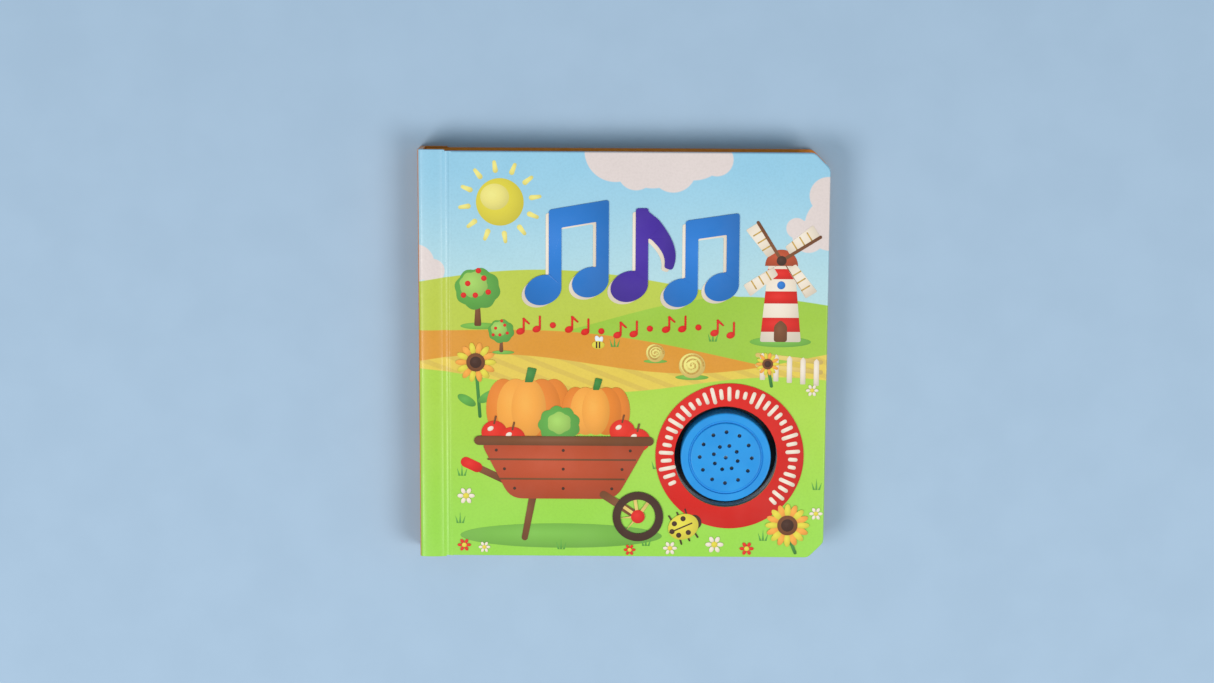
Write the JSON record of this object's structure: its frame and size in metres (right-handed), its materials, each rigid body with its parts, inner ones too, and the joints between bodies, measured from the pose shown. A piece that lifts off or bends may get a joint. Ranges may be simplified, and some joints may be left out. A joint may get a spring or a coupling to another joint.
{
  "type": "sound book",
  "caption": "Square board book on its back cover, with a hinged front cover and a round push button with speaker grille standing in a window near the fore edge.",
  "frame": {"origin": "middle of the box's underside, on the outer face of the back cover", "axes": "+Z out of the front cover, spine at -X, fore edge at +X, head of the book at +Y"},
  "size_m": [0.2, 0.2022, 0.0244],
  "materials": {
    "orange_wrap": "orange paper with a semi-gloss laminate",
    "printed_wrap": "printed paper with a semi-gloss laminate",
    "orange_lining": "orange paper, satin",
    "grey_board": "bare grey board",
    "white_board": "white board, matt",
    "page_board": "coated white board, satin",
    "dark_plastic": "moulded, fine matt texture",
    "blue_plastic": "moulded, satin with a fine grain",
    "ivory_plastic": "moulded, satin",
    "screw_steel": "zinc-plated",
    "cell_steel": "nickel-plated can",
    "contact_brass": "stamped sheet",
    "green_laminate": "solder-resist green",
    "tan_laminate": "phenolic board",
    "black_resin": "cast resin",
    "speaker_steel": "pressed steel",
    "speaker_film": "thin film",
    "red_lead": "insulated wire",
    "black_lead": "insulated wire",
    "spring_steel": "drawn wire"
  },
  "bodies": {
    "root": {"case_wrap": "orange_wrap", "back_board": "grey_board", "spine_board": "grey_board", "hinge_strip": "grey_board", "back_lining": "orange_lining", "module_spacer": "white_board", "pages": "page_board", "module_base": "dark_plastic", "module_cover": "dark_plastic", "battery_door": "dark_plastic", "cover_screw_1": "screw_steel", "cover_screw_2": "screw_steel", "cover_screw_3": "screw_steel", "battery_door_screw": "screw_steel", "battery_1": "cell_steel", "battery_2": "cell_steel", "battery_3": "cell_steel", "contact_roof": "contact_brass", "contact_door": "contact_brass", "terminal_positive": "contact_brass", "terminal_negative": "contact_brass", "circuit_board": "green_laminate", "sound_chip": "black_resin", "switch_body": "black_resin", "speaker_lead_red": "red_lead", "speaker_lead_black": "black_lead", "button_spring": "spring_steel"},
    "front_cover": {"front_wrap": "printed_wrap", "front_board": "grey_board", "front_lining": "orange_lining"},
    "button": {"button": "blue_plastic", "speaker_frame": "speaker_steel", "speaker_cone": "speaker_film", "speaker_magnet": "speaker_steel", "speaker_terminals": "tan_laminate"},
    "plunger": {"switch_plunger": "ivory_plastic"}
  },
  "joints": [
    {"name": "front_cover_hinge", "type": "hinge", "parent": "root", "child": "front_cover", "pos_m": [-0.0867, 0, 0.0221], "axis": [0, -1, 0], "range_deg": [0, 178]},
    {"name": "button_press", "type": "slide", "parent": "root", "child": "button", "axis": [0, 0, -1], "range_m": [0, 0.002], "stiffness_N_per_m": 400, "springref_m": -0.002, "deforming": ["button_spring", "speaker_lead_red", "speaker_lead_black"]},
    {"name": "switch_press", "type": "slide", "parent": "root", "child": "plunger", "axis": [0, 0, -1], "range_m": [0, 0.0003]}
  ],
  "couplings": [
    {"joint": "switch_press", "follows": "button_press", "ratio": 0.15}
  ]
}
